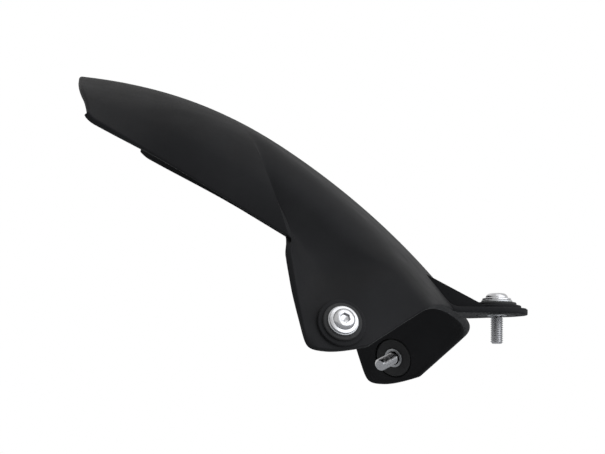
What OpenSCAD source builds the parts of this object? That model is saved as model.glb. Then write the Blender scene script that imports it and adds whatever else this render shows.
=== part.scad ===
// Rear fender extension: a moulded hugger that arches over the front and top of a motorcycle's rear
// tyre. The shape is laid out round the wheel axle: X points forward, Y to the left, Z up, and
// angles are measured at the axle, up from the forward direction. The finished part is then moved
// so that its origin is the seat of the front fixing.

/* [Tyre] */
// Outer radius of the tyre under the shell
tyre_r = 312; // [300:1:324]
// Gap between the tyre and the inside of the crown
tyre_gap = 19; // [14:0.1:30]

/* [Shell] */
// Thickness of the moulded wall
wall_t = 2.8; // [2.2:0.1:3.6]
// Extra thickness along the rim, on the inside
rim_bead = 0.8; // [0.2:0.1:1.6]
// How far the outer edge of the rim is rounded off
rim_round = 1.0; // [0.3:0.1:1.6]

/* [Side panel] */
// Half-width of the shell at the side panel's lower edge
side_half_w = 95.5; // [91:0.5:100]
// How far the side panel's straight lower edge reaches in from the crown
side_depth = 35.2; // [30:0.2:40]
// Angle of the point of that edge that lies nearest to the axle
side_edge_angle = 58.4; // [56:0.2:61]

/* [Tail] */
// Angle at which the rear edge crosses the crown
tail_angle = 73.8; // [70:0.2:80]
// Angle from which the crown closes on the tyre
tail_start = 56; // [52:1:60]
// How far the crown has closed on the tyre at its rear edge
tail_drop = 9.5; // [3:0.5:12]
// How far forward the rear edge sweeps at its corners, as an angle
tail_sweep = 3.9; // [2:0.1:6]
// Angle from which the sides draw in
taper_start = 54; // [50:1:58]
// How much each side draws in from the panel's full width to the rear edge
tail_taper = 15; // [8:0.5:20]

/* [Front skirt] */
// Angle that the ridge sweeps back from its foot to the crown
ridge_sweep = 13.3; // [9:0.1:16]
// Angle over which the surface falls from the ridge into the hollow
ridge_fade = 3.2; // [2.4:0.2:4]
// Share by which that angle shrinks towards the ridge's foot
ridge_pinch = 0.55; // [0.3:0.05:0.7]
// Half-width of the skirt at its shoulder
shoulder_half_w = 79; // [75:0.5:80]
// From the crown down to the steep wall's foot, at the front edge
wall_drop = 12; // [10:0.5:14]
// How far that wall's foot sinks inside the tab's plane behind the front edge
wall_set = 1.5; // [0:0.1:3]
// How much lower that foot lies in the hollow behind the front edge
hollow_drop = 17; // [12:0.5:19]
// How far the flare below the hollow lies inside the tab's plane
hollow_depth = 8.5; // [5:0.5:10]
// Angle from the front edge to the start of the hollow
hollow_start = 3.5; // [3:0.1:4.4]
// Angle over which the hollow deepens
hollow_run = 5; // [4:0.2:6]

/* [Side fixing] */
// How far in from the crown the side fixing's seat lies
fix_depth = 42.8; // [40:0.2:46]
// Angle at which the side fixing lies
fix_angle = 39.6; // [38:0.1:41]
// Half of the distance between the two side seats
fix_half_w = 99.5; // [97:0.5:103]
// Angle of the screw above the level, outwards
fix_tilt = 30; // [26:1:34]
// From the fixing's centre to the tab's rear edge
tab_rear_margin = 17.3; // [15:0.1:20]
// Angle of the tab's rear edge off the vertical
tab_rear_lean = 10.2; // [6:0.2:14]
// From the fixing's centre down to the tab's lower edge
tab_foot_margin = 12.9; // [12.5:0.1:16]
// From the fixing's centre to the shell's front edge
tab_front_margin = 15.2; // [14:0.1:18]

/* [Front fixing] */
// Inner radius of the bend from the crown into the front lug
lug_bend_r = 8; // [4:0.5:14]
// From the end of the bend to the front fixing's centre
lug_reach = 15; // [13.5:0.5:24]
// Width of the front lug
lug_w = 42; // [38:1:56]
// Thickness of the two webs beside the front lug's boss
web_t = 2.4; // [1.6:0.1:3.2]

/* [Screw and grommet] */
// Diameter of the screw's thread
thread_d = 6; // [5:0.5:6.5]
// Length of thread past the seat
thread_len = 13; // [9:0.5:20]
// Diameter of the screw head's flange
head_flange_d = 13.6; // [12.8:0.1:14.2]
// Diameter of the screw head's dome
head_dome_d = 10.5; // [9.6:0.1:11.4]
// Height of the screw's head
head_h = 3.3; // [2.8:0.1:4]
// Width across the flats of the hex socket
socket_af = 4; // [3:0.5:5]
// Depth of the hex socket
socket_depth = 2; // [1.4:0.1:2.4]
// Diameter of the collar's flange
collar_flange_d = 14.6; // [14.3:0.1:16]
// Outer diameter of the collar's sleeve
collar_d = 9.2; // [8.8:0.1:10]
// Thickness of the collar's flange
collar_flange_t = 1; // [0.8:0.1:1.6]
// Diameter of the grommet's flanges
grommet_flange_d = 18.6; // [17.6:0.1:19.4]
// Thickness of each of the grommet's flanges
grommet_flange_t = 1.5; // [1:0.1:2]
// Diameter of the hole that holds the grommet
grommet_hole_d = 13.6; // [12.8:0.1:14.6]
// Diameter of the boss round the grommet
boss_d = 23; // [22.4:0.2:24.4]
// How far the boss stands out of the wall
boss_rise = 1.6; // [1.2:0.1:2.2]

/* [Hidden] */
$fn = 96;

// Clearances
seat_gap = 0.3;      // from the bracket's face to the wall and to the grommet
ring_gap = 0.1;      // between the screw, collar, grommet and hole, on the radius
boss_gap = 0.5;      // round the grommet's inner flange, on the radius
groove_gap = 0.05;   // from the boss to the grommet's outer flange
cut_over = 6;        // how far a cut runs on past what it cuts

// Heights above the seat, along a fixing's own axis
wall_inner_z = seat_gap + 0.1;
wall_outer_z = wall_inner_z + wall_t;
boss_top_z = wall_outer_z + boss_rise;
plate_bottom_z = seat_gap + grommet_flange_t;
collar_top_z = boss_top_z + grommet_flange_t + collar_flange_t;

// The crown, and the points that the edges are laid out from
crown_r = tyre_r + tyre_gap + wall_t;
side_edge_r = crown_r - side_depth;
fix_r = crown_r - fix_depth;
tab_r = fix_r + wall_outer_z * sin(fix_tilt);
tab_half_w = fix_half_w + wall_outer_z * cos(fix_tilt);
front_angle = fix_angle - asin(tab_front_margin / tab_r);
tab_rear_r = tab_r * cos(fix_angle - tab_rear_lean) - tab_rear_margin;
tab_foot_z = tab_r * sin(fix_angle) - tab_foot_margin;
ridge_foot = atan((side_edge_r * cos(tab_rear_lean) - tab_rear_r * cos(side_edge_angle))
    / (tab_rear_r * sin(side_edge_angle) - side_edge_r * sin(tab_rear_lean)));

// The front lug: its sheet leaves the crown at lug_angle and bends forward to the level
lug_angle = front_angle + 1;
lug_overlap = 2;     // how far its sheet runs on inside the crown's wall, as an angle
lug_border = 3;      // from the boss to the lug's round end
bend_mid_r = lug_bend_r + wall_t / 2;
crown_mid_r = crown_r - wall_t / 2;
bend_centre = (crown_mid_r + bend_mid_r) * [cos(lug_angle), sin(lug_angle)];
lug_top_z = bend_centre[1] - lug_bend_r;
front_x = bend_centre[0] + lug_reach;
front_seat_z = lug_top_z - wall_outer_z;

// Rounding of the corners, as how far each is lifted and over what length
foot_corner = [5, 9];
tail_corner = [1.5, 5];
foot_blend = 7;

// Places of the grid's lines: along the skirt and the panel, and from the crown to the edge
skirt_lines = [0, 0.014, 0.04, 0.08, 0.13, 0.18, 0.24, 0.3, 0.37, 0.44, 0.51, 0.58, 0.65, 0.71,
    0.77, 0.82, 0.87, 0.91, 0.94, 0.97, 1];
panel_lines = [0.05, 0.13, 0.23, 0.34, 0.45, 0.56, 0.67, 0.77, 0.86, 0.93, 0.98, 1];
lines = concat(skirt_lines, [for (p = panel_lines) 1 + p]);
half_rows = concat([for (i = [0:2]) i / 3], [for (i = [0:6]) 1 + i / 7], [for (i = [0:6]) 2 + i / 7],
    [3, 3.15, 3.3, 3.45, 3.6, 3.74, 3.86, 3.95, 4]);
rows = concat([for (i = [len(half_rows) - 1:-1:1]) -half_rows[i]], half_rows);

function clamp01(x) = min(1, max(0, x));
function smooth(x) = let (c = clamp01(x)) c * c * (3 - 2 * c);
function soft_max(a, b, k) = (a + b + sqrt((a - b) * (a - b) + k * k)) / 2;
function lift(corner, d) = corner[0] * pow(clamp01(1 - d / corner[1]), 2);
function bez2(a, b, c, t) = a * (1 - t) * (1 - t) + b * 2 * t * (1 - t) + c * t * t;
function along(a, r) = a * PI / 180 * r;

// Angles of the ridge and of the rear edge, for a row u from 0 at the crown to 4 at the lower edge
function ridge_at(u) = ridge_foot + ridge_sweep * (1 - u / 4);
function rear_at(u) = tail_angle - tail_sweep * pow(u / 4, 1.5);

// Radius of the crown, and of the lower edge of the side panel and of the skirt's tab
function crown_at(a) = crown_r - tail_drop * pow(max(0, a - tail_start) / (tail_angle - tail_start), 2);
function panel_edge_r(a) = side_edge_r / cos(a - side_edge_angle)
    + lift(tail_corner, along(rear_at(4) - a, side_edge_r));
function tab_edge_r(a) = soft_max(tab_rear_r / cos(a - tab_rear_lean), tab_foot_z / sin(a), foot_blend)
    + lift(foot_corner, along(a - front_angle, tab_r));
function tab_plane_w(r) = tab_half_w - (r - tab_r) * tan(fix_tilt);

// Control points of the half section at an angle, as [half-width, radius], from crown to lower edge
function panel_controls(a) =
    let (top = crown_at(a), edge = panel_edge_r(a), h = top - edge,
        w = side_half_w - tail_taper * pow(clamp01((a - taper_start) / (tail_angle - taper_start)), 2),
        q = smooth((tail_angle - a) / 15))
    [
        [0, top],
        [(0.30 + 0.10 * q) * w, top],
        [(0.56 + 0.22 * q) * w, top - (0.26 - 0.14 * q) * h],
        [(0.78 + 0.17 * q) * w, top - (0.55 - 0.13 * q) * h],
        [(0.91 + 0.09 * q) * w, top - (0.80 - 0.02 * q) * h],
        [w, edge]
    ];
function skirt_controls(a) =
    let (top = crown_at(a), edge = tab_edge_r(a),
        hollow = smooth((a - front_angle - hollow_start) / hollow_run),
        wall_r = top - wall_drop - hollow_drop * hollow, flare_r = edge + 0.45 * (wall_r - edge))
    [
        [0, top],
        [0.48 * shoulder_half_w, top],
        [shoulder_half_w, top - 3.5],
        [tab_plane_w(top - wall_drop) - wall_set * hollow, wall_r],
        [tab_plane_w(flare_r) - hollow_depth * hollow, flare_r],
        [tab_plane_w(edge), edge]
    ];
function section(c, u) =
    let (k = min(3, floor(u)), t = u - k, a = k == 0 ? c[0] : (c[k] + c[k + 1]) / 2,
        b = k == 3 ? c[5] : (c[k + 1] + c[k + 2]) / 2)
    bez2(a, c[k + 1], b, t);

// The outer skin: t runs from 0 at the front edge to 1 at the ridge and 2 at the rear edge, and v
// from -4 at the right lower edge to 4 at the left one
function angle_at(t, u) = t < 1
    ? front_angle + (ridge_at(u) - front_angle) * t
    : ridge_at(u) + (rear_at(u) - ridge_at(u)) * (t - 1);
function skin(t, v) =
    let (u = abs(v), a = angle_at(t, u), fade = ridge_fade * (1 - ridge_pinch * u / 4),
        x = clamp01((ridge_at(u) - a) / fade),
        w = 1 - (1 - x) * (1 - x), panel = section(panel_controls(a), u),
        p = w > 0 ? panel + (section(skirt_controls(a), u) - panel) * w : panel)
    [p[1] * cos(a), (v < 0 ? -1 : 1) * p[0], p[1] * sin(a)];
function skin_normal(t, v) =
    let (e = 0.002, n = cross(skin(t, min(4, v + e)) - skin(t, max(-4, v - e)),
        skin(min(2, t + e), v) - skin(max(0, t - e), v)))
    n / norm(n);

// The moulded wall: outer and inner skins joined round the rim
module saddle() {
    last = len(lines) - 1;
    side = len(rows) - 1;
    n = (last + 1) * (side + 1);
    skins = [
        for (i = [0:last])
            for (j = [0:side])
                let (p = skin(lines[i], rows[j]), m = skin_normal(lines[i], rows[j]),
                    edge = i == 0 || i == last || j == 0 || j == side,
                    rim = i <= 1 || i >= last - 1 || j <= 1 || j >= side - 1)
                    [p - m * (edge ? rim_round : 0), p - m * (wall_t + (rim ? rim_bead : 0))]
    ];
    points = concat([for (s = skins) s[0]], [for (s = skins) s[1]]);
    function at(i, j) = i * (side + 1) + j;
    walls = [
        for (i = [0:last - 1])
            for (j = [0:side - 1])
                let (a = at(i, j), b = at(i + 1, j), c = at(i + 1, j + 1), d = at(i, j + 1))
                    each [[a, b, c], [a, c, d], [n + a, n + c, n + b], [n + a, n + d, n + c]]
    ];
    front_back = [
        for (j = [0:side - 1])
            let (a = at(0, j), b = at(0, j + 1), c = at(last, j), d = at(last, j + 1))
                each [[a, b, n + b], [a, n + b, n + a], [c, n + d, d], [c, n + c, n + d]]
    ];
    sides = [
        for (i = [0:last - 1])
            let (a = at(i, 0), b = at(i + 1, 0), c = at(i, side), d = at(i + 1, side))
                each [[a, n + b, b], [a, n + a, n + b], [c, d, n + d], [c, n + d, n + c]]
    ];
    polyhedron(points, concat(walls, front_back, sides), convexity = 8);
}

// The sheet that bends out of the crown into the level front lug
module lug_sheet() {
    function ring(r, a) = [r * cos(a), r * sin(a)];
    start = lug_angle + lug_overlap;
    outer = concat([for (i = [0:2]) ring(crown_r - 0.2, start - lug_overlap * i / 2)],
        [for (i = [1:6]) bend_centre - ring(lug_bend_r, lug_angle + (90 - lug_angle) * i / 6)],
        [[front_x + lug_w, lug_top_z]]);
    inner = concat([for (i = [0:2]) ring(crown_r - wall_t, start - lug_overlap * i / 2)],
        [for (i = [1:6]) bend_centre - ring(lug_bend_r + wall_t, lug_angle + (90 - lug_angle) * i / 6)],
        [[front_x + lug_w, lug_top_z - wall_t]]);
    rotate([90, 0, 0])
        linear_extrude(lug_w, center = true)
            polygon(concat(outer, [for (i = [len(inner) - 1:-1:0]) inner[i]]));
}

// The lug's outline from above: straight sides and a round end about the fixing
module lug_outline() {
    end_r = boss_d / 2 + lug_border;
    base_z = lug_top_z - 2 * wall_t;
    translate([0, 0, base_z])
        linear_extrude(crown_r * sin(lug_angle + lug_overlap + 1) - base_z)
            hull() {
                translate([front_x, 0])
                    circle(end_r);
                translate([bend_centre[0] - 2 * foot_blend, -lug_w / 2])
                    square([foot_blend, lug_w]);
            }
}

// Triangular webs from the crown's outer face down to the lug, one each side of the boss
module lug_webs() {
    foot = [front_x - 1, lug_top_z - 1];
    back = bend_centre + [-lug_bend_r * 0.9, -lug_bend_r * 0.9];
    top = (crown_r - 1) * [cos(lug_angle + 3.2), sin(lug_angle + 3.2)];
    for (side = [-1, 1])
        translate([0, side * (boss_d / 2 + 1.5 + web_t / 2), 0])
            rotate([90, 0, 0])
                linear_extrude(web_t, center = true)
                    polygon([foot, top, back]);
}

// Places children at a fixing: its seat is their origin and its axis, pointing out, their Z
module on_right() {
    rotate([0, -fix_angle, 0])
        translate([fix_r, -fix_half_w, 0])
            rotate([90, 0, fix_tilt])
                children();
}
module on_left() {
    mirror([0, 1, 0])
        on_right()
            children();
}
module on_front() {
    translate([front_x, 0, front_seat_z])
        children();
}
module on_row_origin() {
    translate([-front_x, 0, -front_seat_z])
        children();
}

// The boss that stiffens the wall round a grommet, and what is cut out of it
module boss() {
    translate([0, 0, wall_inner_z])
        cylinder(d = boss_d, h = boss_top_z - wall_inner_z);
}
module boss_cuts() {
    translate([0, 0, -cut_over])
        cylinder(d = grommet_flange_d + 2 * boss_gap, h = plate_bottom_z + cut_over);
    cylinder(d = grommet_hole_d, h = boss_top_z + cut_over);
}

module fender_shell() {
    color("#2c2c2e")
        on_row_origin()
            difference() {
                union() {
                    saddle();
                    on_right() boss();
                    on_left() boss();
                    on_front() boss();
                    intersection() {
                        lug_sheet();
                        lug_outline();
                    }
                    lug_webs();
                }
                on_right() boss_cuts();
                on_left() boss_cuts();
                on_front() boss_cuts();
            }
}

// Flanged button head screw with a hex socket
module screw() {
    grip_d = thread_d * 0.9;
    tip = 0.8;
    dome_n = 8;
    flange_t = 0.9;
    crest_r = socket_af * 0.72;
    difference() {
        union() {
            translate([0, 0, collar_top_z])
                rotate_extrude()
                    polygon(concat([[0, 0], [head_flange_d / 2, 0], [head_flange_d / 2, flange_t],
                        [head_dome_d / 2 + 0.4, flange_t + 0.25]],
                        [for (i = [0:dome_n])
                            let (q = 90 * i / dome_n)
                                [crest_r + (head_dome_d / 2 - crest_r) * cos(q),
                                    flange_t + 0.25 + (head_h - flange_t - 0.25) * sin(q)]],
                        [[0, head_h]]));
            cylinder(d = grip_d, h = collar_top_z + 0.5);
            translate([0, 0, tip - thread_len])
                cylinder(d = thread_d, h = thread_len - tip);
            translate([0, 0, -thread_len])
                cylinder(d1 = thread_d - 2 * tip, d2 = thread_d, h = tip);
        }
        translate([0, 0, collar_top_z + head_h - socket_depth])
            cylinder(d = socket_af / cos(30), h = socket_depth + 1, $fn = 6);
    }
}

// Flanged steel sleeve that the screw clamps against the bracket
module collar() {
    bore_r = thread_d / 2 + 0.3;
    rotate_extrude()
        polygon([
            [bore_r, 0], [collar_d / 2, 0],
            [collar_d / 2, collar_top_z - collar_flange_t],
            [collar_flange_d / 2, collar_top_z - collar_flange_t],
            [collar_flange_d / 2, collar_top_z],
            [bore_r, collar_top_z]
        ]);
}

// Rubber grommet with a groove round its waist for the shell's wall
module grommet() {
    bore_r = collar_d / 2 + ring_gap;
    waist_r = grommet_hole_d / 2 - ring_gap;
    flange_r = grommet_flange_d / 2;
    rotate_extrude()
        polygon([
            [bore_r, seat_gap], [flange_r - 0.4, seat_gap], [flange_r, seat_gap + 0.4],
            [flange_r, plate_bottom_z], [waist_r, plate_bottom_z],
            [waist_r, boss_top_z + groove_gap], [flange_r, boss_top_z + groove_gap],
            [flange_r, boss_top_z + grommet_flange_t - 0.4],
            [flange_r - 0.4, boss_top_z + grommet_flange_t],
            [bore_r, boss_top_z + grommet_flange_t]
        ]);
}

module screw_right() { color("#c9cacc") on_row_origin() on_right() screw(); }
module screw_left() { color("#c9cacc") on_row_origin() on_left() screw(); }
module screw_front() { color("#c9cacc") on_row_origin() on_front() screw(); }
module collar_right() { color("#9a9da1") on_row_origin() on_right() collar(); }
module collar_left() { color("#9a9da1") on_row_origin() on_left() collar(); }
module collar_front() { color("#9a9da1") on_row_origin() on_front() collar(); }
module grommet_right() { color("#161617") on_row_origin() on_right() grommet(); }
module grommet_left() { color("#161617") on_row_origin() on_left() grommet(); }
module grommet_front() { color("#161617") on_row_origin() on_front() grommet(); }

fender_shell();
screw_right();
screw_left();
screw_front();
collar_right();
collar_left();
collar_front();
grommet_right();
grommet_left();
grommet_front();
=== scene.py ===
"""Looks of the rear fender extension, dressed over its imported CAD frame."""
import math

import bpy
import bmesh
import numpy as np
from mathutils import Matrix, Vector

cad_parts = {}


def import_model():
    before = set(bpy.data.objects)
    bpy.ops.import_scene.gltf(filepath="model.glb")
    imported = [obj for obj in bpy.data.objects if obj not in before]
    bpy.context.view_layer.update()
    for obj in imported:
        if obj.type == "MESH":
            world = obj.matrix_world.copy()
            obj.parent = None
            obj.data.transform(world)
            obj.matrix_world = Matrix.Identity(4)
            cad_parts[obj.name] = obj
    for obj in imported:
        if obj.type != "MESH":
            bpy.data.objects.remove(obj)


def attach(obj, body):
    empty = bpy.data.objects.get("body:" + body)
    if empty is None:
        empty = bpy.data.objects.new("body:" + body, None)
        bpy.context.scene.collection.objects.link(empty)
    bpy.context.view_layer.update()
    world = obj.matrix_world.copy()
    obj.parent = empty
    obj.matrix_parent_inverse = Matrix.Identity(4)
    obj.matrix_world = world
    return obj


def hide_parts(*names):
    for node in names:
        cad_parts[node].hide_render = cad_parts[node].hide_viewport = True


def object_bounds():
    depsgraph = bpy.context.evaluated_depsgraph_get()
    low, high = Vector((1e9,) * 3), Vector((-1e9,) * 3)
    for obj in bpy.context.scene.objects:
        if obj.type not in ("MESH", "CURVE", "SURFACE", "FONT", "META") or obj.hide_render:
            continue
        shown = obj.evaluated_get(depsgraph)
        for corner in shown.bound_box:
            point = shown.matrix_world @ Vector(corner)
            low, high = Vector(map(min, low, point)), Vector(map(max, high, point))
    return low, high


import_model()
cad_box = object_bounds()

# Sizes of the part, named as in its source: millimetres and degrees, round the wheel's axle
TYRE_R, TYRE_GAP, WALL, RIM_BEAD = 312.0, 19.0, 2.8, 0.8
SIDE_HALF_W, SIDE_EDGE_R, SIDE_EDGE_ANGLE = 95.5, 298.6, 58.4
TAIL_ANGLE, TAIL_START, TAIL_DROP, TAIL_SWEEP, TAIL_TAPER = 73.8, 56.0, 9.5, 3.9, 15.0
RIDGE_SWEEP, RIDGE_FADE, RIDGE_PINCH, SHOULDER_HALF_W = 13.3, 3.2, 0.55, 79.0
HOLLOW_DEPTH, HOLLOW_DROP, HOLLOW_START, HOLLOW_RUN = 8.5, 17.0, 3.5, 5.0
WALL_DROP, WALL_IN_SET = 12.0, 1.5
FIX_R, FIX_ANGLE, FIX_HALF_W, FIX_TILT = 291.0, 39.6, 99.5, 30.0
TAB_REAR_MARGIN, TAB_REAR_LEAN, TAB_FOOT_MARGIN, TAB_FRONT_MARGIN = 17.3, 10.2, 12.9, 15.2
FOOT_CORNER, TAIL_CORNER, FOOT_BLEND = (5.0, 9.0), (1.5, 5.0), 7.0
LUG_BEND_R, LUG_REACH, LUG_W, WEB_T = 8.0, 15.0, 42.0, 2.4
THREAD_D, THREAD_LEN = 6.0, 13.0
HEAD_FLANGE_D, HEAD_DOME_D, HEAD_H = 13.6, 10.5, 3.3
SOCKET_AF, SOCKET_DEPTH = 4.0, 2.0
COLLAR_FLANGE_D, COLLAR_D, COLLAR_FLANGE_T = 14.6, 9.2, 1.0
GROMMET_FLANGE_D, GROMMET_FLANGE_T, GROMMET_HOLE_D = 18.6, 1.5, 13.6
BOSS_D, BOSS_RISE = 23.0, 1.6
SEAT_GAP, RING_GAP, BOSS_GAP, GROOVE_GAP = 0.3, 0.1, 0.5, 0.05

# Sizes that follow from them
rad = math.radians
WALL_IN = SEAT_GAP + 0.1
WALL_OUT = WALL_IN + WALL
BOSS_TOP = WALL_OUT + BOSS_RISE
PLATE = SEAT_GAP + GROMMET_FLANGE_T
COLLAR_TOP = BOSS_TOP + GROMMET_FLANGE_T + COLLAR_FLANGE_T
CROWN_R = TYRE_R + TYRE_GAP + WALL
TAB_R = FIX_R + WALL_OUT * math.sin(rad(FIX_TILT))
TAB_HALF_W = FIX_HALF_W + WALL_OUT * math.cos(rad(FIX_TILT))
FRONT_ANGLE = FIX_ANGLE - math.degrees(math.asin(TAB_FRONT_MARGIN / TAB_R))
TAB_REAR_R = TAB_R * math.cos(rad(FIX_ANGLE - TAB_REAR_LEAN)) - TAB_REAR_MARGIN
TAB_FOOT_Z = TAB_R * math.sin(rad(FIX_ANGLE)) - TAB_FOOT_MARGIN
RIDGE_FOOT = math.degrees(math.atan(
    (SIDE_EDGE_R * math.cos(rad(TAB_REAR_LEAN)) - TAB_REAR_R * math.cos(rad(SIDE_EDGE_ANGLE)))
    / (TAB_REAR_R * math.sin(rad(SIDE_EDGE_ANGLE)) - SIDE_EDGE_R * math.sin(rad(TAB_REAR_LEAN)))))
LUG_ANGLE = FRONT_ANGLE + 1
LUG_END_R = BOSS_D / 2 + 3
BEND_MID_R = LUG_BEND_R + WALL / 2
CROWN_MID_R = CROWN_R - WALL / 2
BEND = ((CROWN_MID_R + BEND_MID_R) * math.cos(rad(LUG_ANGLE)),
        (CROWN_MID_R + BEND_MID_R) * math.sin(rad(LUG_ANGLE)))
LUG_TOP = BEND[1] - LUG_BEND_R
FRONT_X = BEND[0] + LUG_REACH
FRONT_Z = LUG_TOP - WALL_OUT
ORIGIN = np.array([FRONT_X, 0.0, FRONT_Z])

# The skin's sections: how many curve pieces they have from crown to edge, and their own shares
SPANS = 4
SWEEP_POWER, TAPER_START, FULLNESS_RUN = 1.5, 54, 15
# share of the panel's half width and of its drop, each with its gain away from the tail
PANEL_POINTS = ((0, 0, 0, 0), (0.30, 0.10, 0, 0), (0.56, 0.22, 0.26, -0.14),
                (0.78, 0.17, 0.55, -0.13), (0.91, 0.09, 0.80, -0.02))
SHOULDER_SHARE, SHOULDER_DROP, FLARE_SHARE = 0.48, 3.5, 0.45

# The shell's grid, with rows at RIM_STEPS mm from every rim, and the round of the rim
RIM_R, RIM_STEPS = 1.1, np.array([0, 0.08, 0.3, 0.65, 1.1, 2.2, 3.6])
PROBE, PROBE_T, NORMAL_STEP = 0.02, 0.6, 0.004
ACROSS_ROWS, ACROSS_POWER, ACROSS_SHARE, EDGE_CLEAR = 76, 0.92, 0.985, 4.4
FRONT_ROWS, FRONT_SPAN, FRONT_END, FRONT_CLEAR = 70, (0.03, 0.97), 0.985, 1.3
REAR_ROWS, REAR_SPAN, REAR_END, REAR_CLEAR = 92, (1.0, 1.97), 1.985, 0.006
BEAD_START, BEAD_RUN = 2.0, 2.5
FOLD_AT, FOLD_RUN, FOLD_THINNER = 0.98, 0.07, 0.3
BOX_MARGIN, BOX_SOFT = 0.05, 0.2

# The bosses, the lug and its webs
ROUND_STEPS, POLE_R, CORNER_SHARE = 128, 0.001, 0.49
BOSS_EDGE_R, BOSS_FOOT, BOSS_ROWS = 0.6, 0.25, 6
CUT_BELOW, CUT_ABOVE = 6, 5
LUG_LAP, LUG_LAP_STEP, LUG_LAP_ROWS, LUG_SINK = 2, 0.5, 4, 1.5
BEND_STEPS, STRAIGHT_ROWS, END_ROWS = 16, 8, 18
LUG_TAPER_BACK, LUG_TIP_W, LUG_EDGE_R = 6, 0.35, 0.8
LUG_COLUMNS = np.concatenate([[-1, -0.985, -0.955, -0.9], np.linspace(-0.8, 0.8, 9),
                              [0.9, 0.955, 0.985, 1]])
WEB_SINK, WEB_ANGLE, WEB_BACK, WEB_OFF, WEB_STEPS = 1, 3.2, 0.9, 1.5, 12

# The screw's head, socket and thread, and the collar's bore
HEAD_FLANGE_T, HEAD_STEP, DOME_SPREAD, CREST_SHARE = 0.9, 0.25, 0.4, 0.72
DOME_START, DOME_ROWS = 0.06, 12
SOCKET_CONE, SOCKET_BEVEL, SOCKET_OVER, SOCKET_TIP_R = 0.7, 0.3, 0.4, 0.02
PITCH, PITCH_ROWS, SCREW_STEPS = 1.0, 10, 72
THREAD_DEPTH, TOOTH_SLOPE, TOOTH_ROOT, THREAD_FADE, THREAD_TIP = 0.55, 1.25, 0.125, 0.8, 0.8
SHANK_OVER, SHANK_LAP, BORE_AIR = 0.12, 0.02, 0.3

# Angles, in degrees, past which an edge stays sharp
SHELL_SHARP, SCREW_SHARP, RING_SHARP = 38, 32, 35

# Colours from dark to light, and ranges of roughness
PLASTIC_TONES, PLASTIC_ROUGH = ((0.0125, 0.0125, 0.0130), (0.0168, 0.0168, 0.0175)), (0.56, 0.68)
STEEL_TONES, STEEL_ROUGH = ((0.38, 0.38, 0.39), (0.47, 0.47, 0.475)), (0.2, 0.34)
ZINC_TONES, ZINC_ROUGH = ((0.30, 0.31, 0.32), (0.42, 0.42, 0.42)), (0.36, 0.52)
RUBBER_TONES, RUBBER_ROUGH = ((0.009, 0.009, 0.009), (0.016, 0.016, 0.016)), (0.62, 0.8)
FLOOR_TONES, FLOOR_ROUGH = ((0.72, 0.72, 0.72), (0.76, 0.76, 0.76)), 0.9
DUST_COLOUR, DUST_AMOUNT, DUST_ROUGH = (0.16, 0.145, 0.125), 0.05, 0.14
DUST_FACING, DUST_PATCHES = (0.35, 0.98), (0.38, 0.72)
PLASTIC_SPECULAR, RUBBER_SPECULAR, PLASTIC_IOR = 0.05, 0.35, 1.5

# The stage, in metres and degrees
FLOOR_HALF, FLOOR_FADE = 6, (1.1, 3.6)
VIEW_CENTRE, VIEW_W = (-0.092, 0.0, 0.043), 0.285
CAMERA_AZIMUTH, CAMERA_ELEVATION, CAMERA_DISTANCE, SENSOR_W = 7.7, -5.1, 4.0, 36


# The shell's outer skin, by the same formulas as the part's source. Angles are round the axle,
# and u runs from 0 on the crown to SPANS on the lower edge.
def cosd(a):
    return np.cos(np.radians(a))


def sind(a):
    return np.sin(np.radians(a))


def smooth(x):
    c = np.clip(x, 0, 1)
    return c * c * (3 - 2 * c)


def soft_max(a, b, k):
    return (a + b + np.sqrt((a - b) ** 2 + k * k)) / 2


def lift(corner, d):
    return corner[0] * np.clip(1 - d / corner[1], 0, 1) ** 2


def ridge_at(u):
    return RIDGE_FOOT + RIDGE_SWEEP * (1 - u / SPANS)


def rear_at(u):
    return TAIL_ANGLE - TAIL_SWEEP * (u / SPANS) ** SWEEP_POWER


def crown_at(a):
    return CROWN_R - TAIL_DROP * (np.maximum(0, a - TAIL_START) / (TAIL_ANGLE - TAIL_START)) ** 2


def panel_edge_r(a):
    return (SIDE_EDGE_R / cosd(a - SIDE_EDGE_ANGLE)
            + lift(TAIL_CORNER, np.radians(rear_at(SPANS) - a) * SIDE_EDGE_R))


def tab_edge_r(a):
    return (soft_max(TAB_REAR_R / cosd(a - TAB_REAR_LEAN), TAB_FOOT_Z / sind(a), FOOT_BLEND)
            + lift(FOOT_CORNER, np.radians(a - FRONT_ANGLE) * TAB_R))


def tab_plane_w(r):
    return TAB_HALF_W - (r - TAB_R) * math.tan(rad(FIX_TILT))


def panel_controls(a):
    """Control points (half width, radius) of the rear panel's section at an angle."""
    top, edge = crown_at(a), panel_edge_r(a)
    drop = top - edge
    taper = np.clip((a - TAPER_START) / (TAIL_ANGLE - TAPER_START), 0, 1) ** 2
    width = SIDE_HALF_W - TAIL_TAPER * taper
    full = smooth((TAIL_ANGLE - a) / FULLNESS_RUN)
    points = [((out + out_gain * full) * width, top - (down + down_gain * full) * drop)
              for out, out_gain, down, down_gain in PANEL_POINTS]
    return points + [(width, edge)]


def skirt_controls(a):
    """Control points (half width, radius) of the front's section: crown, wall, flare and tab."""
    top, edge = crown_at(a), tab_edge_r(a)
    hollow = smooth((a - FRONT_ANGLE - HOLLOW_START) / HOLLOW_RUN)
    wall_r = top - WALL_DROP - HOLLOW_DROP * hollow
    flare_r = edge + FLARE_SHARE * (wall_r - edge)
    zero = np.zeros_like(a)
    return [(zero, top), (zero + SHOULDER_SHARE * SHOULDER_HALF_W, top),
            (zero + SHOULDER_HALF_W, top - SHOULDER_DROP),
            (tab_plane_w(top - WALL_DROP) - WALL_IN_SET * hollow, wall_r),
            (tab_plane_w(flare_r) - HOLLOW_DEPTH * hollow, flare_r),
            (tab_plane_w(edge), edge)]


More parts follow.
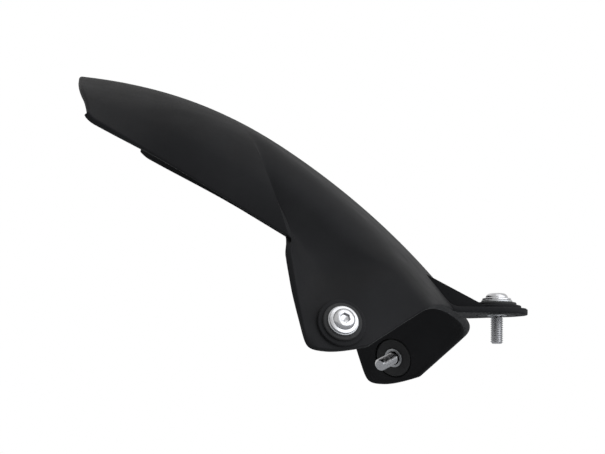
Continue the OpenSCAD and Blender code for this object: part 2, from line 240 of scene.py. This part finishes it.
def section(controls, u):
    """The quadratic B-spline of a section's control points, at u."""
    points = np.array([[np.broadcast_to(p, u.shape) for p in pair] for pair in controls])
    points = points.reshape(len(controls), 2, -1)
    piece = np.minimum(SPANS - 1, np.floor(u)).astype(int).ravel()
    t = (u.ravel() - piece)[:, None]
    pick = np.arange(u.size)
    before, here, after = (points[piece + i, :, pick] for i in range(3))
    start = np.where((piece == 0)[:, None], points[0, :, pick], (before + here) / 2)
    end = np.where((piece == SPANS - 1)[:, None], points[-1, :, pick], (here + after) / 2)
    curve = start * (1 - t) ** 2 + here * 2 * t * (1 - t) + end * t * t
    return curve[:, 0].reshape(u.shape), curve[:, 1].reshape(u.shape)


def skin(t, v):
    """A point of the skin: t is 0 at the front, 1 on the ridge and 2 at the tail; v is u with the
    side's sign."""
    u = np.abs(v)
    ridge, rear = ridge_at(u), rear_at(u)
    a = np.where(t < 1, FRONT_ANGLE + (ridge - FRONT_ANGLE) * t, ridge + (rear - ridge) * (t - 1))
    x = np.clip((ridge - a) / (RIDGE_FADE * (1 - RIDGE_PINCH * u / SPANS)), 0, 1)
    blend = 1 - (1 - x) ** 2
    panel_w, panel_r = section(panel_controls(a), u)
    skirt_w, skirt_r = section(skirt_controls(a), u)
    half_w = panel_w + (skirt_w - panel_w) * blend
    r = panel_r + (skirt_r - panel_r) * blend
    return np.stack([r * cosd(a), np.where(v < 0, -1, 1) * half_w, r * sind(a)], axis=-1)


def skin_normal(t, v):
    e = NORMAL_STEP
    n = np.cross(skin(t, np.minimum(SPANS, v + e)) - skin(t, np.maximum(-SPANS, v - e)),
                 skin(np.minimum(2, t + e), v) - skin(np.maximum(0, t - e), v))
    return n / np.linalg.norm(n, axis=-1, keepdims=True)


# Mesh helpers. Pieces are built in millimetres round the axle and end in the row's frame.
def new_object(name, verts, faces, to_row=True):
    v = np.asarray(verts, dtype=float)
    if to_row:
        v = (v - ORIGIN) / 1000
    mesh = bpy.data.meshes.new(name)
    mesh.from_pydata([tuple(p) for p in v], [], [tuple(f) for f in faces])
    mesh.update()
    obj = bpy.data.objects.new(name, mesh)
    bpy.context.scene.collection.objects.link(obj)
    return obj


def outward(obj):
    """Turns all faces of a closed mesh outward."""
    bm = bmesh.new()
    bm.from_mesh(obj.data)
    bmesh.ops.recalc_face_normals(bm, faces=bm.faces)
    if bm.calc_volume(signed=True) < 0:
        bmesh.ops.reverse_faces(bm, faces=bm.faces)
    bm.to_mesh(obj.data)
    bm.free()


def fix_matrix(side):
    """From a fixing's own axes, with Z out along the screw, to the axle's; side 0 is the front."""
    if side == 0:
        return Matrix.Translation((FRONT_X, 0, FRONT_Z))
    m = (Matrix.Rotation(rad(-FIX_ANGLE), 4, "Y") @ Matrix.Translation((FIX_R, -FIX_HALF_W, 0))
         @ Matrix.Rotation(rad(FIX_TILT), 4, "Z") @ Matrix.Rotation(rad(90), 4, "X"))
    return Matrix.Scale(-1, 4, (0, 1, 0)) @ m if side > 0 else m


def fixing_piece(name, mesh, side):
    """An object from a mesh in a fixing's own axes; the left side's faces turn with its mirror."""
    verts, faces = mesh
    if side > 0:
        faces = [tuple(reversed(f)) for f in faces]
    m = np.array(fix_matrix(side))
    obj = new_object(name, np.asarray(verts, dtype=float) @ m[:3, :3].T + m[:3, 3], faces)
    outward(obj)
    return obj


def rounded(profile, steps=5):
    """Rounds the corners of a closed (radius, height, rounding) outline."""
    out = []
    for i, (x, y, r) in enumerate(profile):
        corner = np.array([x, y])
        if r <= 0:
            out.append(corner)
            continue
        a = np.array(profile[i - 1][:2]) - corner
        b = np.array(profile[(i + 1) % len(profile)][:2]) - corner
        len_a, len_b = np.linalg.norm(a), np.linalg.norm(b)
        a, b = a / len_a, b / len_b
        half = math.acos(np.clip(a @ b, -1, 1)) / 2
        back = min(r / math.tan(half), CORNER_SHARE * len_a, CORNER_SHARE * len_b)
        r = back * math.tan(half)
        centre = corner + (a + b) / np.linalg.norm(a + b) * (r / math.sin(half))
        start, end = corner + a * back - centre, corner + b * back - centre
        a0 = math.atan2(start[1], start[0])
        sweep = (math.atan2(end[1], end[0]) - a0 + math.pi) % (2 * math.pi) - math.pi
        turns = [a0 + sweep * k / steps for k in range(steps + 1)]
        out += [centre + r * np.array([math.cos(q), math.sin(q)]) for q in turns]
    return out


def ring_mesh(profile, around=96):
    """A closed ring from a closed anticlockwise outline, turned about Z."""
    n = len(profile)
    turns = [2 * math.pi * j / around for j in range(around)]
    verts = [(r * math.cos(q), r * math.sin(q), z) for q in turns for r, z in profile]
    faces = []
    for j in range(around):
        a, b = j * n, (j + 1) % around * n
        faces += [(a + i, b + i, b + (i + 1) % n, a + (i + 1) % n) for i in range(n)]
    return verts, faces


def solid_mesh(rows, around):
    """A solid from rows of (height, radius or function of the angle), flat at both ends."""
    verts, faces = [], []
    for z, r in rows:
        for j in range(around):
            a = 2 * math.pi * j / around
            q = r(a) if callable(r) else r
            verts.append((q * math.cos(a), q * math.sin(a), z))
    for i in range(len(rows) - 1):
        a, b = i * around, (i + 1) * around
        for j in range(around):
            k = (j + 1) % around
            faces.append((a + j, a + k, b + k, b + j))
    last = (len(rows) - 1) * around
    faces.append(tuple(range(around - 1, -1, -1)))
    faces.append(tuple(last + j for j in range(around)))
    return verts, faces


def smooth_shade(obj, angle):
    for p in obj.data.polygons:
        p.use_smooth = True
    obj.data.set_sharp_from_angle(angle=rad(angle))


def boolean(obj, other, operation):
    """Joins another object to this one or cuts it out, and removes the other."""
    mod = obj.modifiers.new("b", "BOOLEAN")
    mod.object = other
    mod.operation = operation
    mod.solver = "MANIFOLD"
    deps = bpy.context.evaluated_depsgraph_get()
    mesh = bpy.data.meshes.new_from_object(obj.evaluated_get(deps))
    obj.modifiers.clear()
    old = obj.data
    obj.data = mesh
    bpy.data.meshes.remove(old)
    bpy.data.objects.remove(other, do_unlink=True)


def rounded_back(d, r):
    """How far a surface is rounded back, to radius r, at a distance from its rim."""
    s = np.clip(d, 0, r)
    return r - np.sqrt(np.maximum(0, r ** 2 - (r - s) ** 2))


# The moulded wall
def rows_across():
    """Values of v for the grid's columns, from one lower edge to the other."""
    edge = skin(np.full(2, PROBE_T), np.array([SPANS, SPANS - PROBE]))
    edge_len = np.linalg.norm(edge[0] - edge[1]) / PROBE
    middle = np.linspace(0, 1, ACROSS_ROWS) ** ACROSS_POWER * ACROSS_SHARE
    half = np.concatenate([middle * (SPANS - EDGE_CLEAR / edge_len),
                           (SPANS - RIM_STEPS / edge_len)[::-1]])
    half = np.maximum.accumulate(half)
    return np.concatenate([-half[:0:-1], half])


def rows_along(front_len, rear_len):
    """Values of t for one column, from the front rim to the tail."""
    first, last = RIM_STEPS / front_len, 2 - RIM_STEPS[::-1] / rear_len
    front = np.interp(np.linspace(*FRONT_SPAN, FRONT_ROWS), FRONT_SPAN,
                      [max(FRONT_SPAN[0], first[-1] * FRONT_CLEAR), FRONT_END])
    rear = np.interp(np.linspace(*REAR_SPAN, REAR_ROWS), REAR_SPAN,
                     [REAR_SPAN[0], min(REAR_END, last[0] - REAR_CLEAR)])
    return np.concatenate([first, front, rear, last])


def wall_faces(rows, cols):
    """Faces of a closed wall whose outer grid is numbered before its inner one."""
    inner = rows * cols
    i, j = np.meshgrid(np.arange(rows - 1), np.arange(cols - 1), indexing="ij")
    a = (i * cols + j).ravel()
    b, c, d = a + cols, a + cols + 1, a + 1
    faces = np.concatenate([np.stack([a, d, c, b], 1),
                            np.stack([a, b, c, d], 1) + inner]).tolist()
    for p in range(cols - 1):
        faces.append((p, p + inner, p + 1 + inner, p + 1))
        q = (rows - 1) * cols + p
        faces.append((q, q + 1, q + 1 + inner, q + inner))
    for p in range(0, inner - cols, cols):
        faces.append((p, p + cols, p + cols + inner, p + inner))
        q = p + cols - 1
        faces.append((q, q + inner, q + cols + inner, q + cols))
    return faces


def build_saddle():
    """The shell's wall with its round, beaded rim, without bosses and lug."""
    across = rows_across()
    ones = np.ones_like(across)
    front_len = np.linalg.norm(skin(PROBE * ones, across) - skin(0 * ones, across), axis=-1) / PROBE
    rear_len = np.linalg.norm(skin((2 - PROBE) * ones, across) - skin(2 * ones, across),
                              axis=-1) / PROBE
    t = np.stack([rows_along(*lengths) for lengths in zip(front_len, rear_len)], axis=1)
    v = np.tile(across, (len(t), 1))
    point, normal = skin(t, v), skin_normal(t, v)
    # distance of each grid point from the nearest rim
    to_front, to_rear = np.clip(t, 0, 1) * front_len, np.clip(2 - t, 0, 1) * rear_len
    to_left = np.linalg.norm(point - point[:, -1:, :], axis=-1)
    to_right = np.linalg.norm(point - point[:, :1, :], axis=-1)
    d = np.minimum(np.minimum(to_front, to_rear), np.minimum(to_left, to_right))
    drop = rounded_back(d, RIM_R)[..., None]
    # at the waist, where two sheets fold over each other, the rim is thinner instead of beaded
    fold = np.exp(-((t - FOLD_AT) / FOLD_RUN) ** 2)
    bead = RIM_BEAD * (1 - fold) - FOLD_THINNER * fold
    bead = (bead * (1 - smooth((d - BEAD_START) / BEAD_RUN)))[..., None]
    outer = point - normal * drop
    inner = point - normal * (WALL + bead - drop)
    verts = np.concatenate([outer.reshape(-1, 3), inner.reshape(-1, 3)])
    # the tabs' outer corners keep inside the box of the more coarsely faceted CAD solid
    width = cad_box[1][1] * 1000 - BOX_MARGIN
    y = np.abs(verts[:, 1])
    kept = width - BOX_SOFT * np.logaddexp(0, (width - y) / BOX_SOFT)
    verts[:, 1] = np.sign(verts[:, 1]) * kept
    obj = new_object("shell_skin", verts, wall_faces(*t.shape))
    outward(obj)
    return obj


def build_boss(side):
    r, edge = BOSS_D / 2, BOSS_EDGE_R
    rows = [(WALL_IN, r + BOSS_FOOT)]
    rows += [(BOSS_TOP - edge + edge * math.sin(a), r - edge + edge * math.cos(a))
             for a in np.linspace(0, math.pi / 2, BOSS_ROWS)]
    return fixing_piece("boss", solid_mesh(rows, ROUND_STEPS), side)


def build_cut(side):
    """The stepped hole for a grommet."""
    wide, narrow = GROMMET_FLANGE_D / 2 + BOSS_GAP, GROMMET_HOLE_D / 2
    rows = [(-CUT_BELOW, wide), (PLATE, wide), (PLATE + POLE_R, narrow),
            (BOSS_TOP + CUT_ABOVE, narrow)]
    return fixing_piece("cut", solid_mesh(rows, ROUND_STEPS), side)


def at_angle(r, a):
    return np.array([r * math.cos(rad(a)), r * math.sin(rad(a))])


def tangent_point(p, c, r):
    """Where the line from a point touches a circle, on its far side."""
    d = p - c
    a = math.atan2(d[1], d[0]) - math.acos(r / np.linalg.norm(d))
    return c[0] + r * math.cos(a), c[1] + r * math.sin(a)


def lug_line():
    """Points and normals, in XZ, of the lug's middle: on the crown, round the bend, then level."""
    lap = [LUG_ANGLE + LUG_LAP - i * LUG_LAP_STEP for i in range(LUG_LAP_ROWS)]
    turn = [LUG_ANGLE + (90 - LUG_ANGLE) * i / BEND_STEPS for i in range(BEND_STEPS + 1)]
    straight = FRONT_X - BEND[0]
    stops = [*np.linspace(0, straight, STRAIGHT_ROWS)[1:],
             *(straight + LUG_END_R * np.sin(np.linspace(0, math.pi / 2, END_ROWS)[1:]))]
    points = [at_angle(CROWN_R - LUG_SINK, a) for a in lap]
    points += [np.array(BEND) - at_angle(BEND_MID_R, a) for a in turn]
    points += [(BEND[0] + s, LUG_TOP - WALL / 2) for s in stops]
    return points, [at_angle(1, a) for a in lap + turn] + [(0.0, 1.0)] * len(stops)


def lug_half_width(x):
    """Even at the crown, then tapering along a tangent to the round end."""
    start = BEND[0] - LUG_TAPER_BACK
    tx, ty = tangent_point(np.array([start, LUG_W / 2]), np.array([FRONT_X, 0.0]), LUG_END_R)
    if x <= start:
        w = LUG_W / 2
    elif x <= tx:
        w = LUG_W / 2 + (ty - LUG_W / 2) * (x - start) / (tx - start)
    else:
        w = math.sqrt(max(0.0, LUG_END_R ** 2 - (x - FRONT_X) ** 2))
    return max(w, LUG_TIP_W)


def build_lug():
    """The level front lug: a sheet that leaves the crown and bends forward, with a round end."""
    points, normals = lug_line()
    verts = []
    for (x, z), (nx, nz) in zip(points, normals):
        w = lug_half_width(x)
        for s in (1, -1):
            for k in LUG_COLUMNS:
                rim = min((1 - abs(k)) * w, FRONT_X + LUG_END_R - x)
                t = (WALL / 2 - rounded_back(rim, LUG_EDGE_R)) * s
                verts.append((x + nx * t, k * w, z + nz * t))
    n, faces = len(LUG_COLUMNS), []
    for i in range(len(points) - 1):
        for s in (0, 1):
            for k in range(n - 1):
                a = i * 2 * n + s * n + k
                b = a + 2 * n
                faces.append((a, b, b + 1, a + 1) if s == 0 else (a, a + 1, b + 1, b))
        a = i * 2 * n
        b = a + 2 * n
        faces.append((a, a + n, b + n, b))
        faces.append((a + n - 1, b + n - 1, b + 2 * n - 1, a + 2 * n - 1))
    for i in (0, len(points) - 1):
        a = i * 2 * n
        loop = list(range(a, a + n)) + list(range(a + 2 * n - 1, a + n - 1, -1))
        faces.append(tuple(loop if i == 0 else reversed(loop)))
    obj = new_object("lug", verts, faces)
    outward(obj)
    return obj


def build_web(side):
    """A gusset between the lug and the crown, beside the front boss."""
    foot = np.array([FRONT_X - WEB_SINK, LUG_TOP - WEB_SINK])
    back = np.array(BEND) - LUG_BEND_R * WEB_BACK
    top = at_angle(CROWN_R - WEB_SINK, LUG_ANGLE + WEB_ANGLE)
    middle = side * (BOSS_D / 2 + WEB_OFF + WEB_T / 2)
    line = [foot + (top - foot) * k / WEB_STEPS for k in range(WEB_STEPS + 1)] + [back]
    verts = [(p[0], middle + s * WEB_T / 2, p[1]) for s in (-1, 1) for p in line]
    n = len(line)
    faces = [tuple(range(n)), tuple(range(2 * n - 1, n - 1, -1))]
    faces += [(i, n + i, n + (i + 1) % n, (i + 1) % n) for i in range(n)]
    obj = new_object("web", verts, faces)
    outward(obj)
    return obj


def build_shell():
    shell = build_saddle()
    shell.name = "fender_shell_moulding"
    for side in (-1, 1):
        boolean(shell, build_boss(side), "UNION")
    lug = build_lug()
    boolean(lug, build_boss(0), "UNION")
    for side in (-1, 1):
        boolean(lug, build_web(side), "UNION")
    boolean(shell, lug, "UNION")
    for side in (-1, 1, 0):
        boolean(shell, build_cut(side), "DIFFERENCE")
    smooth_shade(shell, SHELL_SHARP)
    return shell


# Screws, collars and grommets, each turned about its fixing's own axis
def head_rows():
    """(height, radius) of the head's flange and dome, up to the socket's mouth."""
    flange_top = COLLAR_TOP + HEAD_FLANGE_T
    dome_foot = flange_top + HEAD_STEP
    outline = rounded([(POLE_R, COLLAR_TOP, 0), (HEAD_FLANGE_D / 2, COLLAR_TOP, 0.25),
                       (HEAD_FLANGE_D / 2, flange_top, 0.4),
                       (HEAD_DOME_D / 2 + DOME_SPREAD, dome_foot, 0.3), (POLE_R, dome_foot, 0)])
    crest = SOCKET_AF * CREST_SHARE
    dome_h = HEAD_H - HEAD_FLANGE_T - HEAD_STEP
    return [(z, r) for r, z in outline if r > POLE_R] + [
        (dome_foot + dome_h * math.sin(q), crest + (HEAD_DOME_D / 2 - crest) * math.cos(q))
        for q in np.linspace(DOME_START, math.pi / 2, DOME_ROWS)]


def thread_radius(z, a):
    """A helix that fades into the shank under the seat and narrows at the tip."""
    major, minor = THREAD_D / 2, THREAD_D / 2 - THREAD_DEPTH
    phase = (z / PITCH - a / (2 * math.pi)) % 1
    tooth = (0.5 - abs(phase - 0.5)) * 2 * TOOTH_SLOPE - TOOTH_ROOT
    fade = min(1.0, max(0.0, -z / THREAD_FADE))
    tip = max(0.0, THREAD_TIP - (z + THREAD_LEN))
    r = minor + (major - minor) * max(0.0, min(1.0, tooth)) * fade + SHANK_OVER * (1 - fade)
    return min(r, major - tip)


def build_screw(name, side):
    steps = int(THREAD_LEN / PITCH * PITCH_ROWS)
    heights = [-THREAD_LEN + THREAD_LEN * i / steps for i in range(steps + 1)]
    rows = [(z, lambda a, z=z: thread_radius(z, a)) for z in heights]
    shank_r = THREAD_D / 2 - THREAD_DEPTH + SHANK_OVER
    rows += [(SHANK_LAP, shank_r), (COLLAR_TOP, shank_r)]
    obj = fixing_piece(name, solid_mesh(rows + head_rows(), SCREW_STEPS), side)
    corner_r = SOCKET_AF / math.cos(rad(30)) / 2
    head_top = COLLAR_TOP + HEAD_H
    floor = head_top - SOCKET_DEPTH
    rows = [(floor - SOCKET_CONE, SOCKET_TIP_R), (floor, corner_r),
            (head_top - SOCKET_BEVEL, corner_r),
            (head_top + SOCKET_OVER, corner_r + (SOCKET_BEVEL + SOCKET_OVER))]
    boolean(obj, fixing_piece("socket", solid_mesh(rows, 6), side), "DIFFERENCE")
    smooth_shade(obj, SCREW_SHARP)
    return obj


def build_collar(name, side):
    bore, flange, foot = THREAD_D / 2 + BORE_AIR, COLLAR_FLANGE_D / 2, COLLAR_TOP - COLLAR_FLANGE_T
    outline = [(bore, 0, 0.15), (COLLAR_D / 2, 0, 0.2), (COLLAR_D / 2, foot, 0.15),
               (flange, foot, 0.2), (flange, COLLAR_TOP, 0.35), (bore, COLLAR_TOP, 0.15)]
    obj = fixing_piece(name, ring_mesh(rounded(outline)), side)
    smooth_shade(obj, RING_SHARP)
    return obj


def build_grommet(name, side):
    bore, waist = COLLAR_D / 2 + RING_GAP, GROMMET_HOLE_D / 2 - RING_GAP
    rim, groove, top = GROMMET_FLANGE_D / 2, BOSS_TOP + GROOVE_GAP, BOSS_TOP + GROMMET_FLANGE_T
    outline = [(bore, SEAT_GAP, 0.2), (rim, SEAT_GAP, 0.55), (rim, PLATE, 0.3), (waist, PLATE, 0.2),
               (waist, groove, 0.2), (rim, groove, 0.25), (rim, top, 0.7), (bore, top, 0.2)]
    obj = fixing_piece(name, ring_mesh(rounded(outline)), side)
    smooth_shade(obj, RING_SHARP)
    return obj


# Materials, over the tree's Principled BSDF. Noise mostly lies between LOW and HIGH.
LOW, HIGH = 0.3, 0.7
MIX_FACTOR, MIX_A, MIX_B, MIX_COLOUR_OUT = 0, 6, 7, 2


def material(name, metallic=0.0):
    mat = bpy.data.materials.new(name)
    mat.use_nodes = True
    bsdf = mat.node_tree.nodes["Principled BSDF"]
    bsdf.inputs["Metallic"].default_value = metallic
    coord = mat.node_tree.nodes.new("ShaderNodeTexCoord").outputs["Object"]
    return mat, mat.node_tree, bsdf, coord


def noise(tree, coord, scale, detail=3.0, rough=0.5, stretch=None):
    n = tree.nodes.new("ShaderNodeTexNoise")
    n.inputs["Scale"].default_value = scale
    n.inputs["Detail"].default_value = detail
    n.inputs["Roughness"].default_value = rough
    if stretch:
        m = tree.nodes.new("ShaderNodeMapping")
        m.inputs["Scale"].default_value = stretch
        tree.links.new(coord, m.inputs["Vector"])
        coord = m.outputs["Vector"]
    tree.links.new(coord, n.inputs["Vector"])
    return n.outputs["Fac"]


def ramp(tree, fac, dark, light, top=HIGH):
    """A blend of two colours as fac goes from LOW to top."""
    r = tree.nodes.new("ShaderNodeValToRGB")
    for element, position, colour in zip(r.color_ramp.elements, (LOW, top), (dark, light)):
        element.position = position
        element.color = (*colour, 1)
    tree.links.new(fac, r.inputs["Fac"])
    return r.outputs["Color"]


def map_range(tree, fac, low, high, to_low=0.0, to_high=1.0):
    m = tree.nodes.new("ShaderNodeMapRange")
    m.inputs["From Min"].default_value = low
    m.inputs["From Max"].default_value = high
    m.inputs["To Min"].default_value = to_low
    m.inputs["To Max"].default_value = to_high
    tree.links.new(fac, m.inputs["Value"])
    return m.outputs["Result"]


def lay_over(tree, amount, under, colour):
    """One colour laid over another by an amount."""
    m = tree.nodes.new("ShaderNodeMix")
    m.data_type = "RGBA"
    tree.links.new(amount, m.inputs[MIX_FACTOR])
    tree.links.new(under, m.inputs[MIX_A])
    m.inputs[MIX_B].default_value = (*colour, 1)
    return m.outputs[MIX_COLOUR_OUT]


def math_node(tree, operation, *values):
    m = tree.nodes.new("ShaderNodeMath")
    m.operation = operation
    for socket, value in zip(m.inputs, values):
        if isinstance(value, (int, float)):
            socket.default_value = value
        else:
            tree.links.new(value, socket)
    return m.outputs[0]


def bump(tree, bsdf, layers):
    """Bumps of (height, strength, distance) laid one over another."""
    previous = None
    for height, strength, distance in layers:
        b = tree.nodes.new("ShaderNodeBump")
        b.inputs["Strength"].default_value = strength
        b.inputs["Distance"].default_value = distance
        tree.links.new(height, b.inputs["Height"])
        if previous:
            tree.links.new(previous, b.inputs["Normal"])
        previous = b.outputs["Normal"]
    tree.links.new(previous, bsdf.inputs["Normal"])


def moulded_plastic():
    mat, tree, bsdf, coord = material("black_moulded_plastic")
    grain, fine = noise(tree, coord, 1500, 3, 0.6), noise(tree, coord, 3600, 2, 0.5)
    waves = noise(tree, coord, 18, 2, 0.4)
    tone = ramp(tree, noise(tree, coord, 26, 4, 0.6), *PLASTIC_TONES)
    # a thin haze of dust on what faces up, broken up by noise
    split = tree.nodes.new("ShaderNodeSeparateXYZ")
    tree.links.new(tree.nodes.new("ShaderNodeNewGeometry").outputs["Normal"], split.inputs[0])
    up = map_range(tree, split.outputs["Z"], *DUST_FACING)
    patch = map_range(tree, noise(tree, coord, 75, 6, 0.7), *DUST_PATCHES)
    dust = math_node(tree, "MULTIPLY", up, math_node(tree, "MULTIPLY_ADD", patch, 0.5, 0.5))
    amount = math_node(tree, "MULTIPLY", dust, DUST_AMOUNT)
    colour = lay_over(tree, amount, tone, DUST_COLOUR)
    tree.links.new(colour, bsdf.inputs["Base Color"])
    worn = map_range(tree, noise(tree, coord, 60, 5, 0.6), LOW, HIGH, *PLASTIC_ROUGH)
    rough = math_node(tree, "ADD", worn, math_node(tree, "MULTIPLY", dust, DUST_ROUGH))
    tree.links.new(rough, bsdf.inputs["Roughness"])
    bsdf.inputs["Specular IOR Level"].default_value = PLASTIC_SPECULAR
    bsdf.inputs["IOR"].default_value = PLASTIC_IOR
    bump(tree, bsdf, [(grain, 0.22, 0.00012), (fine, 0.12, 0.00005), (waves, 0.10, 0.0012)])
    return mat


def stainless():
    mat, tree, bsdf, coord = material("bright_stainless_steel", 1.0)
    lines = noise(tree, coord, 900, 4, 0.6, stretch=(1, 1, 0.1))
    tone = ramp(tree, lines, *STEEL_TONES)
    tree.links.new(tone, bsdf.inputs["Base Color"])
    rough = map_range(tree, noise(tree, coord, 420, 4), LOW, HIGH, *STEEL_ROUGH)
    tree.links.new(rough, bsdf.inputs["Roughness"])
    bump(tree, bsdf, [(lines, 0.08, 0.00004)])
    return mat


def zinc():
    mat, tree, bsdf, coord = material("dull_zinc_plate", 1.0)
    spots = noise(tree, coord, 500, 5, 0.65)
    tone = ramp(tree, spots, *ZINC_TONES)
    tree.links.new(tone, bsdf.inputs["Base Color"])
    tree.links.new(map_range(tree, spots, LOW, HIGH, *ZINC_ROUGH), bsdf.inputs["Roughness"])
    bump(tree, bsdf, [(spots, 0.12, 0.00005)])
    return mat


def rubber():
    mat, tree, bsdf, coord = material("black_rubber")
    spots = noise(tree, coord, 700, 4, 0.6)
    tone = ramp(tree, spots, *RUBBER_TONES, top=0.75)
    tree.links.new(tone, bsdf.inputs["Base Color"])
    tree.links.new(map_range(tree, spots, LOW, HIGH, *RUBBER_ROUGH), bsdf.inputs["Roughness"])
    bsdf.inputs["Specular IOR Level"].default_value = RUBBER_SPECULAR
    bump(tree, bsdf, [(spots, 0.25, 0.00008)])
    return mat


# The object
plastic, steel, plate, soft = moulded_plastic(), stainless(), zinc(), rubber()
shell = build_shell()
shell.data.materials.clear()
shell.data.materials.append(plastic)
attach(shell, "root")
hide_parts("fender_shell")
for word, side in (("right", -1), ("left", 1), ("front", 0)):
    for kind, build, mat, slot in (("screw", build_screw, steel, "screw_steel"),
                                   ("collar", build_collar, plate, "collar_steel"),
                                   ("grommet", build_grommet, soft, "grommet_rubber")):
        piece = build("%s_%s_detail" % (kind, word), side)
        piece.data.materials.clear()
        piece.data.materials.append(mat)
        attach(piece, "root")
        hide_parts("%s_%s" % (kind, word))


# Floor, backdrop, lights and camera
def mix_shaders(tree, fac, first, second, surface):
    pick = tree.nodes.new("ShaderNodeMixShader")
    for output, socket in zip((fac, first.outputs[0], second.outputs[0]), pick.inputs):
        tree.links.new(output, socket)
    tree.links.new(pick.outputs[0], surface)


def stage():
    """A pale floor on the level of the tyre's foot."""
    ground = -ORIGIN[2] / 1000 - TYRE_R / 1000
    half = FLOOR_HALF
    corners = [(-half, -half, ground), (half, -half, ground), (half, half, ground),
               (-half, half, ground)]
    floor = new_object("floor", corners, [(0, 1, 2, 3)], to_row=False)
    mat, tree, bsdf, coord = material("pale_floor")
    tree.links.new(ramp(tree, noise(tree, coord, 3, 3), *FLOOR_TONES), bsdf.inputs["Base Color"])
    bsdf.inputs["Roughness"].default_value = FLOOR_ROUGH
    # far from the object the camera sees the floor turn as white as the world behind it
    far = tree.nodes.new("ShaderNodeVectorMath")
    far.operation = "LENGTH"
    tree.links.new(tree.nodes.new("ShaderNodeNewGeometry").outputs["Position"], far.inputs[0])
    fade = map_range(tree, far.outputs["Value"], *FLOOR_FADE)
    seen = tree.nodes.new("ShaderNodeLightPath").outputs["Is Camera Ray"]
    white, out = tree.nodes.new("ShaderNodeEmission"), tree.nodes["Material Output"]
    mix_shaders(tree, math_node(tree, "MULTIPLY", fade, seen), bsdf, white, out.inputs["Surface"])
    floor.data.materials.append(mat)


def new_light(name, kind, power, colour, facing, front):
    """A lamp with its front axis turned along a direction."""
    data = bpy.data.lights.new(name, kind)
    data.energy = power
    data.color = colour
    obj = bpy.data.objects.new(name, data)
    obj.rotation_euler = facing.to_track_quat(front, "Y").to_euler()
    bpy.context.scene.collection.objects.link(obj)
    return obj


def area_light(name, where, target, size, power, colour=(1, 1, 1)):
    obj = new_light(name, "AREA", power, colour, Vector(target) - Vector(where), "-Z")
    obj.location = where
    obj.data.shape = "RECTANGLE"
    obj.data.size, obj.data.size_y = size


def low_sun(name, towards, power, width, colour):
    obj = new_light(name, "SUN", power, colour, Vector(towards), "Z")
    obj.data.angle = rad(width)


def background(tree, colour, strength):
    node = tree.nodes.new("ShaderNodeBackground")
    node.inputs["Color"].default_value = (*colour, 1)
    node.inputs["Strength"].default_value = strength
    return node


def world():
    """Plain light on the object, and white where the camera, metal or glass sees the world."""
    studio = bpy.data.worlds.new("studio")
    bpy.context.scene.world = studio
    studio.use_nodes = True
    tree = studio.node_tree
    tree.nodes.clear()
    path = tree.nodes.new("ShaderNodeLightPath").outputs
    seen = math_node(tree, "MAXIMUM", path["Is Camera Ray"], path["Is Transmission Ray"])
    seen = math_node(tree, "MAXIMUM", seen, path["Is Glossy Ray"])
    out = tree.nodes.new("ShaderNodeOutputWorld")
    mix_shaders(tree, seen, background(tree, (0.93, 0.96, 1.0), 0.4),
                background(tree, (1, 1, 1), 1.0), out.inputs["Surface"])


def camera():
    """The photograph's view, from the right and a little from below."""
    centre = Vector(VIEW_CENTRE)
    az, el = rad(CAMERA_AZIMUTH), rad(CAMERA_ELEVATION)
    away = Vector((math.sin(az) * math.cos(el), -math.cos(az) * math.cos(el), math.sin(el)))
    where = centre + CAMERA_DISTANCE * away
    data = bpy.data.cameras.new("camera")
    data.sensor_fit = "HORIZONTAL"
    data.sensor_width = SENSOR_W
    data.lens = SENSOR_W * CAMERA_DISTANCE / VIEW_W
    data.clip_end = 50
    obj = bpy.data.objects.new("camera", data)
    obj.location = where
    obj.rotation_euler = (centre - where).to_track_quat("-Z", "Y").to_euler()
    bpy.context.scene.collection.objects.link(obj)
    bpy.context.scene.camera = obj


stage()
world()
area_light("sky", where=(0.5, -0.5, 1.55), target=(-0.09, 0, 0.04), size=(1.4, 1.1), power=7,
           colour=(0.97, 0.98, 1.0))
low_sun("front_sun", towards=(1.6, -0.85, 0.25), power=3.0, width=80, colour=(0.92, 0.95, 1.0))
area_light("back_fill", where=(-0.8, 0.9, 1.2), target=(-0.09, 0, 0.02), size=(1.5, 1.2), power=1.5)
camera()
bpy.context.scene.view_settings.view_transform = "Standard"
